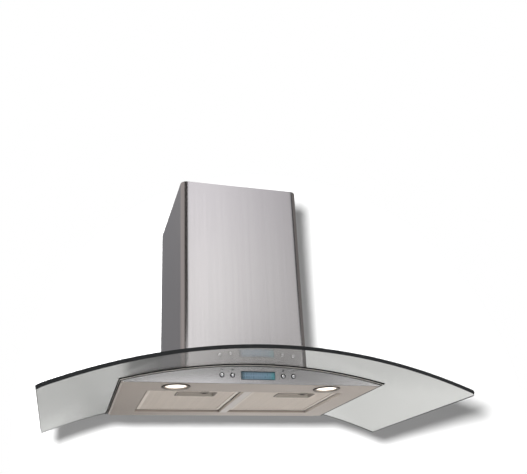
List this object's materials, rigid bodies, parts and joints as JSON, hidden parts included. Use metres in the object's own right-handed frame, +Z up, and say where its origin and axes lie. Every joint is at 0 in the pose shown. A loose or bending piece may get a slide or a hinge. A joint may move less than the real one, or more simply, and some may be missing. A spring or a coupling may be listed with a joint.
{
  "type": "range hood",
  "caption": "Wall-mounted kitchen range hood with a bent glass canopy, slim steel body with filters and lamps, and a telescopic chimney.",
  "frame": {"origin": "on the back face of the body casing, on the centre line, 22 mm above the body's underside", "axes": "+X to the right as seen from the room, +Y into the wall, +Z up"},
  "size_m": [0.9, 0.55, 0.5776],
  "materials": {
    "satin_steel": "satin brushed, vertical grain",
    "underside_steel": "satin brushed",
    "galvanised": "galvanised sheet",
    "zinc_steel": "zinc plated",
    "clear_glass": "tempered, clear with a grey-green cast",
    "black_rubber": "matt",
    "black_plastic": "moulded",
    "white_plastic": "moulded",
    "filter_aluminium": "natural expanded mesh",
    "chrome": "polished",
    "motor_steel": "lacquered",
    "board_green": "circuit board",
    "display_blue": "backlit",
    "display_cover": "clear",
    "lamp_glass": "frosted, lit"
  },
  "bodies": {
    "hood": {"glass_canopy": "clear_glass", "glass_gasket": "black_rubber", "box_seal": "black_rubber", "body_casing": "underside_steel", "top_plate": "galvanised", "fascia_panel": "satin_steel", "control_board": "board_green", "display_module": "display_blue", "display_window": "display_cover", "lamp_transformer": "black_plastic", "fan_box": "galvanised", "wall_hook_left": "zinc_steel", "wall_hook_right": "zinc_steel", "scroll_left": "black_plastic", "scroll_right": "black_plastic", "motor": "motor_steel", "motor_bracket": "galvanised", "motor_capacitor": "white_plastic", "terminal_box": "black_plastic", "terminal_lid": "black_plastic", "cable_gland": "black_plastic", "outlet_spigot": "black_plastic", "flap_rod": "zinc_steel", "chimney_lower": "satin_steel", "glass_bolt_1": "zinc_steel", "glass_bush_1": "black_rubber", "glass_bolt_2": "zinc_steel", "glass_bush_2": "black_rubber", "glass_bolt_3": "zinc_steel", "glass_bush_3": "black_rubber", "glass_bolt_4": "zinc_steel", "glass_bush_4": "black_rubber", "lamp_bezel_left": "chrome", "lamp_lens_left": "lamp_glass", "lamp_bulb_left": "lamp_glass", "lamp_can_left": "galvanised", "lamp_bezel_right": "chrome", "lamp_lens_right": "lamp_glass", "lamp_bulb_right": "lamp_glass", "lamp_can_right": "galvanised"},
    "blower_wheel": {"impeller": "white_plastic", "motor_shaft": "zinc_steel"},
    "rear_flap": {"flap_rear": "white_plastic"},
    "front_flap": {"flap_front": "white_plastic"},
    "upper_chimney": {"chimney_upper": "satin_steel", "chimney_bracket": "zinc_steel"},
    "press_1": {"button_1": "chrome"},
    "press_2": {"button_2": "chrome"},
    "press_3": {"button_3": "chrome"},
    "press_4": {"button_4": "chrome"},
    "filter_left": {"filter_frame_left": "filter_aluminium", "filter_mesh_left": "filter_aluminium", "filter_handle_left": "filter_aluminium"},
    "latch_left": {"filter_latch_left": "black_plastic"},
    "filter_right": {"filter_frame_right": "filter_aluminium", "filter_mesh_right": "filter_aluminium", "filter_handle_right": "filter_aluminium"},
    "latch_right": {"filter_latch_right": "black_plastic"}
  },
  "joints": [
    {"name": "button_1_press", "type": "slide", "parent": "hood", "child": "press_1", "axis": [0, 1, 0], "range_m": [0, 0.0012], "stiffness_N_per_m": 800, "springref_m": -0.0004},
    {"name": "button_2_press", "type": "slide", "parent": "hood", "child": "press_2", "axis": [0, 1, 0], "range_m": [0, 0.0012], "stiffness_N_per_m": 800, "springref_m": -0.0004},
    {"name": "button_3_press", "type": "slide", "parent": "hood", "child": "press_3", "axis": [0, 1, 0], "range_m": [0, 0.0012], "stiffness_N_per_m": 800, "springref_m": -0.0004},
    {"name": "button_4_press", "type": "slide", "parent": "hood", "child": "press_4", "axis": [0, 1, 0], "range_m": [0, 0.0012], "stiffness_N_per_m": 800, "springref_m": -0.0004},
    {"name": "filter_left_swing", "type": "hinge", "parent": "hood", "child": "filter_left", "pos_m": [-0.1195, -0.0794, -0.0156], "axis": [1, 0, 0], "range_deg": [0, 55]},
    {"name": "latch_left_draw", "type": "slide", "parent": "filter_left", "child": "latch_left", "axis": [0, 1, 0], "range_m": [0, 0.005], "stiffness_N_per_m": 300, "springref_m": -0.002},
    {"name": "filter_right_swing", "type": "hinge", "parent": "hood", "child": "filter_right", "pos_m": [0.1195, -0.0794, -0.0156], "axis": [1, 0, 0], "range_deg": [0, 55]},
    {"name": "latch_right_draw", "type": "slide", "parent": "filter_right", "child": "latch_right", "axis": [0, 1, 0], "range_m": [0, 0.005], "stiffness_N_per_m": 300, "springref_m": -0.002},
    {"name": "wheel_spin", "type": "hinge", "parent": "hood", "child": "blower_wheel", "pos_m": [0, -0.162, 0.154], "axis": [1, 0, 0], "continuous": true},
    {"name": "rear_flap_open", "type": "hinge", "parent": "hood", "child": "rear_flap", "pos_m": [0, -0.092, 0.3323], "axis": [1, 0, 0], "range_deg": [0, 75]},
    {"name": "front_flap_open", "type": "hinge", "parent": "hood", "child": "front_flap", "pos_m": [0, -0.092, 0.3323], "axis": [-1, 0, 0], "range_deg": [0, 75]},
    {"name": "upper_chimney_raise", "type": "slide", "parent": "hood", "child": "upper_chimney", "axis": [0, 0, 1], "range_m": [0, 0.3]}
  ]
}
